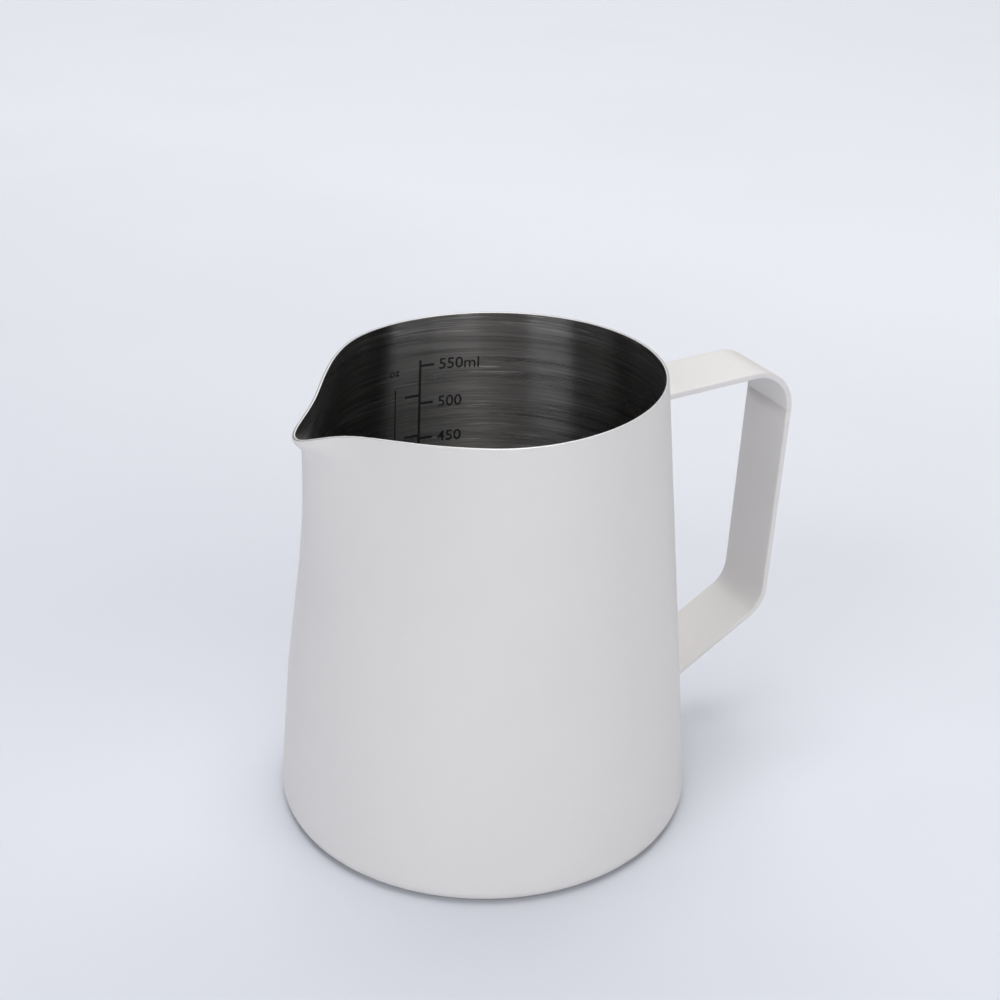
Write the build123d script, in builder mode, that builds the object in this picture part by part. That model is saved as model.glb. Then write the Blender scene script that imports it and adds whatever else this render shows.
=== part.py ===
from build123d import *
import os
from math import asinh, atan2, cos, degrees, exp, pi, radians, sin, sinh, sqrt, tanh

# A milk frothing pitcher. A conical steel cup, drawn in one piece and pinched into a V-shaped
# pouring spout, with a flat steel strip bent into an open handle and welded on opposite the
# spout. A thin white powder coat covers the outside; the inside stays bare steel.
# Frame: origin where the cup's axis meets the surface it stands on, +Z up, the handle
# towards +X, the spout towards -X, and the two sides alike about the XZ plane.
# All lengths are in millimetres and all angles in degrees.

os.makedirs("parts", exist_ok=True)

# The cup before its spout is formed: a straight cone of thin sheet.
rim_height = 105.0  # floor to rim, on the axis
base_radius = 49.0  # where the side would meet the floor
rim_radius = 39.5  # at rim_height
wall = 0.9  # sheet thickness, side and bottom
base_corner = 3.0  # outer radius between the side and the flat bottom
corner_lean = 6.0  # the corner is struck to a side leaning out this much, and so meets the cone

# The spout: a rounded V that stands out of the cone, between two pressed-in cheeks.
spout_reach = 6.4  # how far the V's ridge stands out at its tip
spout_spread = 8.25  # angle over which the V falls away
spout_shape = 1.35  # 1 is a sharp V, 2 a round bell
spout_round = 3.1  # angle over which the ridge is rounded
spout_start = 61.0  # height where the ridge begins
foot_widening = 0.5  # how much wider than at its tip the V spreads where it begins
lip_share = 0.37  # share of the reach that the last flare below the lip makes
lip_flare = 1.2  # the flare rises over about twice this height
cheek_depth = 3.6  # how far each cheek is pressed in at the rim
cheek_angle = 31.0  # from the spout to the deepest line of a cheek
cheek_spread = 31.0  # angle over which a cheek fades out
cheek_start = 33.6  # height where the cheeks begin

# The rim's line, seen from the side.
rim_fall = 0.026  # drop for each millimetre towards the spout
lip_dip = 7.0  # further drop at the spout's tip
lip_dip_start = 16.2  # from the axis towards the spout, where that drop begins

# The handle: a flat strip bent to three straight runs. Places are of its middle line.
strip_width = 16.6
strip_thickness = 1.2
grip_top_x = 75.7
grip_top_z = 97.7
grip_bottom_x = 73.1
grip_bottom_z = 34.6
upper_joint_z = 95.6  # where the middle line meets the cup
lower_joint_z = 18.8
upper_bend = 9.7
lower_bend = 8.5

weld_leg = 0.7  # how far a weld bead spreads beside the strip
coat = 0.12  # thickness of the powder coat
coat_start = 1.3  # height of the coat's lower edge, above the bare foot

# How the sheet's form is cut into sections.
section_steps = 24  # from the bottom to past the rim
section_focus = 5.0  # sections lie closest together over about this height round the lip
flank_points = 9  # on each flank of the spout
back_points = 15  # on each side round the rest of the cup
flank_angle = 30.0  # the flanks' part of each side
flank_grading = 1.4  # above 1, the points lie closer together towards the ridge
overshoot = 3.0  # the blanks stand this far past the rim, and are then cut
run_in = 3.0  # the strip starts this far inside the cup, and is then cut
slope_step = 1e-4  # in radians, for the outline's slope

tip_reach = rim_radius + spout_reach
tip_height = rim_height - rim_fall * tip_reach - lip_dip


def cup_radius(z, angle):
    """The cup's outer radius at a height, and at an angle in radians from the spout."""
    cone = base_radius + (rim_radius - base_radius) * z / rim_height
    rise = min(max((z - spout_start) / (tip_height - spout_start), 0.0), 1.0)
    flare = (1 + tanh(1 + (z - tip_height) / lip_flare)) / 2
    ridge = (1 - lip_share) * rise + lip_share * flare
    rounding = radians(spout_round)
    off_ridge = sqrt(angle**2 + rounding**2) - rounding
    spread = radians(spout_spread) * (1 + foot_widening * (1 - ridge))
    out = spout_reach * ridge * exp(-((off_ridge / spread) ** spout_shape))
    press = cheek_depth * max((z - cheek_start) / (rim_height - cheek_start), 0.0)
    left = exp(-(((degrees(angle) - cheek_angle) / cheek_spread) ** 2))
    right = exp(-(((degrees(angle) + cheek_angle) / cheek_spread) ** 2))
    return cone + out - press * (left + right)


def cup_point(z, angle, outset):
    """A point of the cup's outline at a height, moved outwards square to the outline."""
    r = cup_radius(z, angle)
    rise = cup_radius(z, angle + slope_step) - cup_radius(z, angle - slope_step)
    slope = rise / (2 * slope_step)
    normal = angle - atan2(slope, r)
    return (-r * cos(angle) - outset * cos(normal), r * sin(angle) + outset * sin(normal))


def section_heights(bottom):
    """Heights from the bottom to past the rim, spaced as a sinh that is flattest at the lip."""
    first = asinh((bottom - tip_height) / section_focus)
    last = asinh((rim_height + overshoot - tip_height) / section_focus)
    steps = [first + (last - first) * i / section_steps for i in range(section_steps + 1)]
    return [tip_height + section_focus * sinh(step) for step in steps]


def outline_angles():
    """Angles round the cup from the spout: close together on its flanks, wider behind."""
    flank = [flank_angle * (i / flank_points) ** flank_grading for i in range(flank_points)]
    rest = [flank_angle + (180 - flank_angle) * i / back_points for i in range(back_points + 1)]
    side = [radians(a) for a in flank + rest]
    return side + [-a for a in side[-2:0:-1]]


def formed_blank(outset):
    """The cup's form as a full solid, moved outwards by outset, with its base corner rounded."""
    top = rim_height + 2 * overshoot
    with BuildPart() as blank:
        for z in section_heights(-outset):
            with BuildSketch(Plane.XY.offset(z)):
                with BuildLine():
                    Spline(*[cup_point(z, a, outset) for a in outline_angles()], periodic=True)
                make_face()
        loft()
        with BuildSketch(Plane.XZ):
            with BuildLine():
                Polyline(
                    (0, -outset),
                    (base_radius + outset, -outset),
                    (base_radius + outset + corner_lean, top),
                    (0, top),
                    close=True,
                )
            make_face()
            fillet(vertices().group_by(Axis.Y)[0].sort_by(Axis.X)[-1], base_corner + outset)
        revolve(mode=Mode.INTERSECT)
    return blank.part


def strip_ends():
    """The handle's middle line, as the four points (x, z) where its straight runs meet."""
    upper_x = cup_radius(upper_joint_z, pi) - run_in
    lower_x = cup_radius(lower_joint_z, pi) - run_in
    upper_slope = (grip_top_z - upper_joint_z) / (grip_top_x - upper_x - run_in)
    lower_slope = (grip_bottom_z - lower_joint_z) / (grip_bottom_x - lower_x - run_in)
    return [
        (upper_x, upper_joint_z - run_in * upper_slope),
        (grip_top_x, grip_top_z),
        (grip_bottom_x, grip_bottom_z),
        (lower_x, lower_joint_z - run_in * lower_slope),
    ]


def bent_strip(growth):
    """The handle's strip along its whole middle line, grown by growth on its four sides."""
    with BuildPart() as strip:
        with BuildLine(Plane.XZ) as path:
            FilletPolyline(*strip_ends(), radius=[upper_bend, lower_bend])
        start = Plane(path.line @ 0, x_dir=(0, 1, 0), z_dir=path.line % 0)
        with BuildSketch(start):
            Rectangle(strip_width + 2 * growth, strip_thickness + 2 * growth)
        sweep()
    return strip.part


def bead_blank(end, towards, growth):
    """A weld bead before cutting: a wedge round the strip, wide inside the cup, gone at its leg."""
    slope = (towards[1] - end[1]) / (towards[0] - end[0])
    length = run_in + weld_leg
    strip_height = strip_thickness * sqrt(1 + slope**2)
    with BuildPart() as bead:
        for share in (0, 1):
            middle = Vector(end[0] + share * length, 0, end[1] + share * length * slope)
            spread = (1 - share) * length + growth
            with BuildSketch(Plane(middle, x_dir=(0, 1, 0), z_dir=(1, 0, 0))):
                Rectangle(strip_width + 2 * spread, strip_height + 2 * spread)
        loft()
    return bead.part


outer = formed_blank(0)
hollow = formed_blank(-wall)
coated = formed_blank(coat)
bare_strip = bent_strip(0)
upper_end, grip_top, grip_bottom, lower_end = strip_ends()

# Everything above the rim's line, as one block across the cup.
with BuildPart() as above_rim:
    far = base_radius + overshoot
    top = rim_height + 3 * overshoot
    tip_x = -tip_reach - overshoot
    tip_drop = lip_dip * ((-tip_x - lip_dip_start) / (tip_reach - lip_dip_start)) ** 2
    bend_z = rim_height - rim_fall * lip_dip_start
    middle_x = (tip_x - lip_dip_start) / 2
    with BuildSketch(Plane.XZ):
        with BuildLine():
            Line((far, rim_height + rim_fall * far), (-lip_dip_start, bend_z))
            Bezier(
                (-lip_dip_start, bend_z),
                (middle_x, rim_height + rim_fall * middle_x),
                (tip_x, rim_height + rim_fall * tip_x - tip_drop),
            )
            Polyline(
                (tip_x, rim_height + rim_fall * tip_x - tip_drop),
                (tip_x, top),
                (far, top),
                (far, rim_height + rim_fall * far),
            )
        make_face()
    extrude(amount=far, both=True)

with BuildPart() as pitcher_body:
    add(outer)
    add(hollow, mode=Mode.SUBTRACT)
    add(above_rim.part, mode=Mode.SUBTRACT)
pitcher_body.part.label = "pitcher_body"
export_step(pitcher_body.part, "parts/pitcher_body.step")

with BuildPart() as handle_strip:
    add(bare_strip)
    add(outer, mode=Mode.SUBTRACT)
handle_strip.part.label = "handle_strip"
export_step(handle_strip.part, "parts/handle_strip.step")

with BuildPart() as upper_weld:
    add(bead_blank(upper_end, grip_top, 0))
    add(outer, mode=Mode.SUBTRACT)
    add(bare_strip, mode=Mode.SUBTRACT)
upper_weld.part.label = "upper_weld"
export_step(upper_weld.part, "parts/upper_weld.step")

with BuildPart() as lower_weld:
    add(bead_blank(lower_end, grip_bottom, 0))
    add(outer, mode=Mode.SUBTRACT)
    add(bare_strip, mode=Mode.SUBTRACT)
lower_weld.part.label = "lower_weld"
export_step(lower_weld.part, "parts/lower_weld.step")

# The coat is one film over the cup, the welds and the strip. It is parted where the strip's
# film meets the cup's, so that each of the two pieces of it stays with what it covers.
with BuildPart() as body_coating:
    add(coated)
    split(bisect_by=Plane.XY.offset(coat_start), keep=Keep.TOP)
    add(above_rim.part, mode=Mode.SUBTRACT)
    add(outer, mode=Mode.SUBTRACT)
    add(bare_strip, mode=Mode.SUBTRACT)
    add(upper_weld.part, mode=Mode.SUBTRACT)
    add(lower_weld.part, mode=Mode.SUBTRACT)
body_coating.part.label = "body_coating"
export_step(body_coating.part, "parts/body_coating.step")

with BuildPart() as handle_coating:
    add(bent_strip(coat))
    add(bead_blank(upper_end, grip_top, coat))
    add(bead_blank(lower_end, grip_bottom, coat))
    add(coated, mode=Mode.SUBTRACT)
    add(bare_strip, mode=Mode.SUBTRACT)
    add(upper_weld.part, mode=Mode.SUBTRACT)
    add(lower_weld.part, mode=Mode.SUBTRACT)
handle_coating.part.label = "handle_coating"
export_step(handle_coating.part, "parts/handle_coating.step")
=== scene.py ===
"""A milk frothing pitcher: a steel cup with a spout, a strip handle and a white powder coat.

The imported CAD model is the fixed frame. The looks are built around it as numpy surfaces: the steel
cup, the film of powder coat over it, the coated handle strip and the volume scale inside the cup.
All lengths are in metres. Angles round the cup are measured from the spout, which points to -X.
"""

import logging
import math
from dataclasses import dataclass, field
from enum import Enum
from typing import Sequence

import bmesh
import bpy
import numpy as np
from mathutils import Matrix, Vector

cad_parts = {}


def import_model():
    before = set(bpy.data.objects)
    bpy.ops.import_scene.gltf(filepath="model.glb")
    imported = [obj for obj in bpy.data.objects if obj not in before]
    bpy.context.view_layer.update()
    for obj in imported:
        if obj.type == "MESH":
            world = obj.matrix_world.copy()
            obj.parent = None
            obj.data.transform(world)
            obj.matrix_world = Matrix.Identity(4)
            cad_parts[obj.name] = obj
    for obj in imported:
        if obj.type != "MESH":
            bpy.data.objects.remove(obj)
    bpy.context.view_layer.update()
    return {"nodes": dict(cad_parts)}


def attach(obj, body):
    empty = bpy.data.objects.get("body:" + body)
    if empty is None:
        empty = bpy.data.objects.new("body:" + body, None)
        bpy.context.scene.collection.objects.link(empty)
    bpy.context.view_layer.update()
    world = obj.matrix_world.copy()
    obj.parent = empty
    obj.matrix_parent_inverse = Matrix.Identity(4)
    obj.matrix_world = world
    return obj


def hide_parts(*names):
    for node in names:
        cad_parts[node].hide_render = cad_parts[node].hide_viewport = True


LOG = logging.getLogger("pitcher")
MM = 0.001
MILLILITRE = 1e-6
ROOT = "root"

# How often the searches for a point on the cup are repeated, until it stands still.
RIM_STEPS = 60
FOLLOW_STEPS = 8
FLARE_STEPS = 20

# A noise's values lie mostly between these two.
GRAIN_LOW = 0.3
GRAIN_HIGH = 0.7

# The point that the studio's side panels shine at.
PANEL_AIM = (0.0, 0.0, 0.1)

# Colours of lamps that aren't plain white.
COOL = (0.96, 0.97, 1.0)
WARM = (1.0, 0.97, 0.95)


class Slot(Enum):
    """The record's material slots."""

    STEEL = "bare_steel"
    COAT = "white_powder_coat"


# ---------------------------------------------------------------------------------------------
# Meshes from grids of points
# ---------------------------------------------------------------------------------------------


def ring_faces(rows: int, columns: int) -> np.ndarray:
    """Quads of a grid that closes round its columns.

    Args:
        rows: Number of rings.
        columns: Number of points on each ring.

    Returns:
        An array of faces, four point numbers each.
    """
    row, column = np.meshgrid(np.arange(rows - 1), np.arange(columns), indexing="ij")
    after = (column + 1) % columns
    corners = [row * columns + column, row * columns + after]
    corners += [(row + 1) * columns + after, (row + 1) * columns + column]
    return np.stack([c.ravel() for c in corners], axis=1)


def enclosed_volume(points: np.ndarray, quads: np.ndarray, triangles: np.ndarray) -> float:
    """Six times the signed volume inside a closed surface: positive if its faces point outwards.

    It is the sum over the triangles of a . (b x c), where a, b and c are a triangle's corners.

    Args:
        points: The surface's points.
        quads: Its four-sided faces, as point numbers.
        triangles: Its triangles, as point numbers.

    Returns:
        Six times the volume, in cubic metres.
    """
    split = [quads[:, [0, 1, 2]], quads[:, [0, 2, 3]], triangles]
    tri = np.concatenate([part.reshape(-1, 3) for part in split])
    a, b, c = points[tri[:, 0]], points[tri[:, 1]], points[tri[:, 2]]
    return float(np.einsum("ij,ij->", a, np.cross(b, c)))


def closed_skin(
    name: str, rings: np.ndarray, torus: bool = False, poles: np.ndarray | None = None
) -> bpy.types.Object:
    """A closed smooth surface through rings of points, with its faces turned outwards.

    A torus joins its last ring to its first. Any other skin gets a pole in the middle of its
    first ring and of its last, and a fan of triangles closes each.

    Args:
        name: Name of the new object.
        rings: Points as (ring, place on the ring, 3).
        torus: Whether the rings themselves run in a loop.
        poles: The two poles, where they aren't the middles of their rings.

    Returns:
        The new object, in the scene, at the origin.
    """
    rows, columns = rings.shape[:2]
    points = rings.reshape(-1, 3)
    if torus:
        looped = ring_faces(rows + 1, columns)
        quads, triangles = looped % (rows * columns), np.zeros((0, 3), int)
    else:
        quads = ring_faces(rows, columns)
        here = np.arange(columns)
        after = (here + 1) % columns
        first, last = np.full(columns, rows * columns), np.full(columns, rows * columns + 1)
        end = (rows - 1) * columns
        fans = [np.stack([first, after, here], axis=1)]
        fans.append(np.stack([last, end + here, end + after], axis=1))
        triangles = np.concatenate(fans)
        if poles is None:
            poles = np.stack([rings[0].mean(axis=0), rings[-1].mean(axis=0)])
        points = np.concatenate([points, poles])
    if enclosed_volume(points, quads, triangles) < 0:
        quads, triangles = quads[:, ::-1], triangles[:, ::-1]
    mesh = bpy.data.meshes.new(name)
    mesh.from_pydata(points.tolist(), [], quads.tolist() + triangles.tolist())
    mesh.polygons.foreach_set("use_smooth", np.ones(len(mesh.polygons), bool))
    mesh.update()
    piece = bpy.data.objects.new(name, mesh)
    bpy.context.scene.collection.objects.link(piece)
    return piece


def quarter(start: float, end: float, steps: int) -> tuple[np.ndarray, np.ndarray]:
    """Cosines and sines of evenly spaced angles from start to end, in degrees, both included."""
    angles = np.radians(np.linspace(start, end, steps))
    return np.cos(angles), np.sin(angles)


# ---------------------------------------------------------------------------------------------
# Materials
# ---------------------------------------------------------------------------------------------


class NodeTree:
    """A material's nodes, with short calls to add and join them."""

    def __init__(self, name: str) -> None:
        """Makes an empty node material with an output and a Principled shader."""
        self.material = bpy.data.materials.new(name)
        self.material.use_nodes = True
        self.nodes = self.material.node_tree.nodes
        self.nodes.clear()
        self.output = self.add("ShaderNodeOutputMaterial")
        self.shader = self.add("ShaderNodeBsdfPrincipled")
        self.link(self.shader, "BSDF", self.output, "Surface")
        self.place = self.add("ShaderNodeTexCoord")

    def add(self, kind: str, **settings: object) -> bpy.types.Node:
        """A new node with its properties set.

        Args:
            kind: The node's type name.
            settings: Its properties by name.

        Returns:
            The node.
        """
        node = self.nodes.new(kind)
        for name, value in settings.items():
            setattr(node, name, value)
        return node

    def link(self, source: bpy.types.Node, out: str, target: bpy.types.Node, into: str) -> None:
        """Joins one node's output to another's input, each by its name."""
        self.material.node_tree.links.new(source.outputs[out], target.inputs[into])

    def noise(
        self,
        scale: Sequence[float],
        detail: float,
        roughness: float,
        source: bpy.types.Node | None = None,
    ) -> bpy.types.Node:
        """A noise on Object coordinates, stretched by a scale for each axis.

        Args:
            scale: Repeats per metre along X, Y and Z.
            detail: The noise's number of octaves.
            roughness: How strong its fine octaves are.
            source: A node whose Vector output stands for the Object coordinates.

        Returns:
            The noise node.
        """
        mapping = self.add("ShaderNodeMapping")
        mapping.inputs["Scale"].default_value = scale
        if source is None:
            self.link(self.place, "Object", mapping, "Vector")
        else:
            self.link(source, "Vector", mapping, "Vector")
        noise = self.add("ShaderNodeTexNoise")
        noise.inputs["Scale"].default_value = 1.0
        noise.inputs["Detail"].default_value = detail
        noise.inputs["Roughness"].default_value = roughness
        self.link(mapping, "Vector", noise, "Vector")
        return noise

    def remap(
        self, source: bpy.types.Node, out: str, low: tuple[float, float], high: tuple[float, float]
    ) -> bpy.types.Node:
        """Maps a value from one range to another.

        Args:
            source: The node that gives the value.
            out: The name of its output.
            low: The value's own lower end, and what it becomes.
            high: The value's own upper end, and what it becomes.

        Returns:
            The Map Range node, whose output is Result.
        """
        node = self.add("ShaderNodeMapRange")
        for name, value in zip(("From Min", "To Min"), low):
            node.inputs[name].default_value = value
        for name, value in zip(("From Max", "To Max"), high):
            node.inputs[name].default_value = value
        self.link(source, out, node, "Value")
        return node

    def combine(
        self, operation: str, first: tuple[bpy.types.Node, str], second: tuple[bpy.types.Node, str]
    ) -> bpy.types.Node:
        """A Math node that works on two nodes' outputs.

        Args:
            operation: What it does with them.
            first: The first value's node and the name of its output.
            second: The second value's node and the name of its output.

        Returns:
            The Math node, whose output is Value.
        """
        node = self.add("ShaderNodeMath", operation=operation)
        for socket, (source, out) in zip(node.inputs, (first, second)):
            self.material.node_tree.links.new(source.outputs[out], socket)
        return node

    def tints(
        self, source: bpy.types.Node, out: str, colours: Sequence[tuple[float, tuple]]
    ) -> bpy.types.Node:
        """A colour ramp over a value.

        Args:
            source: The node that gives the value.
            out: The name of its output.
            colours: Two or more stops, each a place from 0 to 1 and a colour.

        Returns:
            The Color Ramp node, whose output is Color.
        """
        ramp = self.add("ShaderNodeValToRGB")
        for index, (place, colour) in enumerate(colours):
            stops = ramp.color_ramp.elements
            stop = stops[index] if index < len(stops) else stops.new(place)
            stop.position = place
            stop.color = (*colour, 1.0)
        self.link(source, out, ramp, "Fac")
        return ramp

    def paint(
        self, source: bpy.types.Node, out: str, colours: Sequence[tuple[float, tuple]]
    ) -> None:
        """Gives the shader its colour from a ramp over a value."""
        self.link(self.tints(source, out, colours), "Color", self.shader, "Base Color")

    def mottle(self, noise: bpy.types.Node, roughness: tuple[float, float]) -> None:
        """Gives the shader a roughness that varies with a noise, from the first to the second."""
        low, high = (GRAIN_LOW, roughness[0]), (GRAIN_HIGH, roughness[1])
        self.link(self.remap(noise, "Fac", low, high), "Result", self.shader, "Roughness")

    def bump(self, source: bpy.types.Node, out: str, depth: float) -> bpy.types.Node:
        """A bump from a value, whose full range is depth metres high.

        Args:
            source: The node that gives the height.
            out: The name of its output.
            depth: Height of a full step of the value.

        Returns:
            The Bump node, joined to the shader's normal.
        """
        node = self.add("ShaderNodeBump")
        node.inputs["Strength"].default_value = 1.0
        node.inputs["Distance"].default_value = depth
        self.link(source, out, node, "Height")
        self.link(node, "Normal", self.shader, "Normal")
        return node


@dataclass(frozen=True)
class PowderCoat:
    """White powder coat: satin, with a fine orange peel."""

    light: tuple[float, float, float] = (0.785, 0.768, 0.757)
    shade: tuple[float, float, float] = (0.775, 0.757, 0.746)
    roughness: tuple[float, float] = (0.40, 0.50)
    refraction: float = 1.5
    cloud_scale: float = 45.0
    cloud_range: tuple[float, float] = (0.35, 0.65)
    peel_scale: float = 900.0
    peel_depth: float = 0.012 * MM

    def material(self) -> bpy.types.Material:
        """The coat's material: faint cloudy tints, mottled gloss and a bumpy peel.

        Returns:
            The material.
        """
        tree = NodeTree("white_powder_coat")
        clouds = tree.noise((self.cloud_scale,) * 3, detail=4.0, roughness=0.6)
        low, high = self.cloud_range
        tree.paint(clouds, "Fac", [(low, self.shade), (high, self.light)])
        peel = tree.noise((self.peel_scale,) * 3, detail=2.0, roughness=0.5)
        tree.mottle(peel, self.roughness)
        tree.bump(peel, "Fac", self.peel_depth)
        tree.shader.inputs["IOR"].default_value = self.refraction
        return tree.material


@dataclass(frozen=True)
class BrushedSteel:
    """Stainless steel with fine scratches that run round the cup."""

    name: str = "bare_steel"
    light: tuple[float, float, float] = (0.50, 0.49, 0.485)
    shade: tuple[float, float, float] = (0.215, 0.21, 0.209)
    roughness: tuple[float, float] = (0.26, 0.32)
    anisotropy: float = 1.0
    quarter_turn: float = 0.25
    streak: tuple[float, float, float] = (0.86, 0.85, 0.84)
    streak_strength: float = 0.55
    streak_scale: tuple[float, float, float] = (75.0, 75.0, 1900.0)
    streak_range: tuple[float, float] = (0.55, 0.75)
    patch_scale: tuple[float, float, float] = (40.0, 40.0, 110.0)
    patch_range: tuple[float, float] = (0.38, 0.62)
    gloss_scale: tuple[float, float, float] = (22.0, 22.0, 600.0)
    scratch_scale: tuple[float, float, float] = (30.0, 30.0, 4200.0)
    scratch_depth: float = 0.004 * MM
    floor_height: float = 1.0 * MM
    corner_height: float = 4.0 * MM

    def turned_place(self, tree: NodeTree) -> bpy.types.Node:
        """Object coordinates for marks that run round the axis on walls and floors alike.

        Height is replaced by height less weight times the distance from the axis, where weight is
        1 on the flat floor and 0 above its rounded corner.

        Args:
            tree: The material's nodes.

        Returns:
            The Combine XYZ node, whose output is Vector.
        """
        apart = tree.add("ShaderNodeSeparateXYZ")
        tree.link(tree.place, "Object", apart, "Vector")
        level = tree.add("ShaderNodeCombineXYZ")
        reach = tree.add("ShaderNodeVectorMath", operation="LENGTH")
        turned = tree.add("ShaderNodeCombineXYZ")
        for axis in ("X", "Y"):
            tree.link(apart, axis, level, axis)
            tree.link(apart, axis, turned, axis)
        tree.link(level, "Vector", reach, "Vector")
        weight = tree.remap(apart, "Z", (self.floor_height, 1.0), (self.corner_height, 0.0))
        inward = tree.combine("MULTIPLY", (reach, "Value"), (weight, "Result"))
        height = tree.combine("SUBTRACT", (apart, "Z"), (inward, "Value"))
        tree.link(height, "Value", turned, "Z")
        return turned

    def material(self) -> bpy.types.Material:
        """The steel's material: streaks stretched round the cup, in colour, gloss and bump.

        Returns:
            The material.
        """
        tree = NodeTree(self.name)
        turned = self.turned_place(tree)
        fine = tree.noise(self.scratch_scale, detail=3.0, roughness=0.7, source=turned)
        broad = tree.noise(self.gloss_scale, detail=2.0, roughness=0.5, source=turned)
        short = tree.noise(self.streak_scale, detail=2.0, roughness=0.6, source=turned)
        patches = tree.noise(self.patch_scale, detail=1.0, roughness=0.5, source=turned)
        low, high = self.streak_range
        streaks = tree.remap(short, "Fac", (low, 0.0), (high, 1.0))
        low, high = self.patch_range
        clusters = tree.remap(patches, "Fac", (low, 0.0), (high, self.streak_strength))
        weight = tree.combine("MULTIPLY", (streaks, "Result"), (clusters, "Result"))
        tone = tree.combine("ADD", (fine, "Fac"), (weight, "Value"))
        stops = [(GRAIN_LOW, self.shade), (GRAIN_HIGH, self.light), (1.0, self.streak)]
        tree.paint(tone, "Value", stops)
        tree.mottle(broad, self.roughness)
        tree.bump(fine, "Fac", self.scratch_depth)
        tree.shader.inputs["Metallic"].default_value = 1.0
        tree.shader.inputs["Anisotropic"].default_value = self.anisotropy
        tree.shader.inputs["Anisotropic Rotation"].default_value = self.quarter_turn
        grain = tree.add("ShaderNodeTangent", direction_type="RADIAL", axis="Z")
        tree.link(grain, "Tangent", tree.shader, "Tangent")
        return tree.material


@dataclass(frozen=True)
class HighlightRimEdge:
    """The rim's cut edge: the steel with a brighter tint, a painted highlight along the rim."""

    # Both tints are brighter than the steel: a painted highlight along the rim.
    light: tuple[float, float, float] = (0.72, 0.72, 0.73)
    shade: tuple[float, float, float] = (0.62, 0.62, 0.63)
    roughness: tuple[float, float] = (0.34, 0.44)
    mark_scale: float = 1500.0

    def material(self) -> bpy.types.Material:
        """The edge's material: steel painted bright as a highlight along the rim, with fine mottled
        marks.

        Returns:
            The material.
        """
        tree = NodeTree("rim_edge_painted_highlight")
        marks = tree.noise((self.mark_scale,) * 3, detail=3.0, roughness=0.6)
        tree.paint(marks, "Fac", [(GRAIN_LOW, self.shade), (GRAIN_HIGH, self.light)])
        tree.mottle(marks, self.roughness)
        tree.shader.inputs["Metallic"].default_value = 1.0
        return tree.material


@dataclass(frozen=True)
class EtchedMark:
    """Dark oxide left by the engraving of the volume scale."""

    light: tuple[float, float, float] = (0.030, 0.029, 0.028)
    shade: tuple[float, float, float] = (0.012, 0.012, 0.012)
    roughness: tuple[float, float] = (0.55, 0.75)
    grain_scale: tuple[float, float, float] = (3000.0, 3000.0, 5000.0)
    gloss_level: float = 0.3

    def material(self) -> bpy.types.Material:
        """The mark's material: nearly black, with fine grains of uneven oxide.

        Returns:
            The material.
        """
        tree = NodeTree("etched_scale")
        grain = tree.noise(self.grain_scale, detail=3.0, roughness=0.6)
        tree.paint(grain, "Fac", [(GRAIN_LOW, self.shade), (GRAIN_HIGH, self.light)])
        tree.mottle(grain, self.roughness)
        tree.shader.inputs["Specular IOR Level"].default_value = self.gloss_level
        return tree.material


@dataclass(frozen=True)
class StudioFloor:
    """Seamless white studio paper, a little blue, with painted shade towards the front and painted
    light towards the back.
    """

    # far and near are the fade's ends: painted light at the back, painted shade at the front.
    far: tuple[float, float, float] = (0.875, 0.892, 0.950)
    near: tuple[float, float, float] = (0.655, 0.677, 0.748)
    heading: float = 58.0
    cloud_scale: float = 6.0
    cloud_strength: float = 0.05
    roughness: float = 0.9
    gloss_level: float = 0.15
    fade_start: float = -0.30
    fade_length: float = 0.75

    def material(self) -> bpy.types.Material:
        """The paper's material: a straight fade along the heading, painted shade in front and
        painted light behind, broken by a faint mottle.

        Returns:
            The material.
        """
        tree = NodeTree("studio_floor")
        along = tree.add("ShaderNodeMapping", vector_type="TEXTURE")
        turn = math.radians(90.0 - self.heading)
        start = (self.fade_start * math.cos(turn), self.fade_start * math.sin(turn), 0.0)
        along.inputs["Location"].default_value = start
        along.inputs["Rotation"].default_value = (0.0, 0.0, turn)
        along.inputs["Scale"].default_value = (self.fade_length,) * 3
        tree.link(tree.place, "Object", along, "Vector")
        fade = tree.add("ShaderNodeTexGradient", gradient_type="LINEAR")
        tree.link(along, "Vector", fade, "Vector")
        clouds = tree.noise((self.cloud_scale,) * 3, detail=3.0, roughness=0.5)
        swing = self.cloud_strength
        mottle = tree.remap(clouds, "Fac", (GRAIN_LOW, -swing), (GRAIN_HIGH, swing))
        tone = tree.combine("ADD", (fade, "Fac"), (mottle, "Result"))
        # The fade paints shade on the near floor and light on the far floor.
        tree.paint(tone, "Value", [(0.0, self.near), (1.0, self.far)])
        tree.shader.inputs["Roughness"].default_value = self.roughness
        tree.shader.inputs["Specular IOR Level"].default_value = self.gloss_level
        return tree.material


# ---------------------------------------------------------------------------------------------
# The cup
# ---------------------------------------------------------------------------------------------


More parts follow.
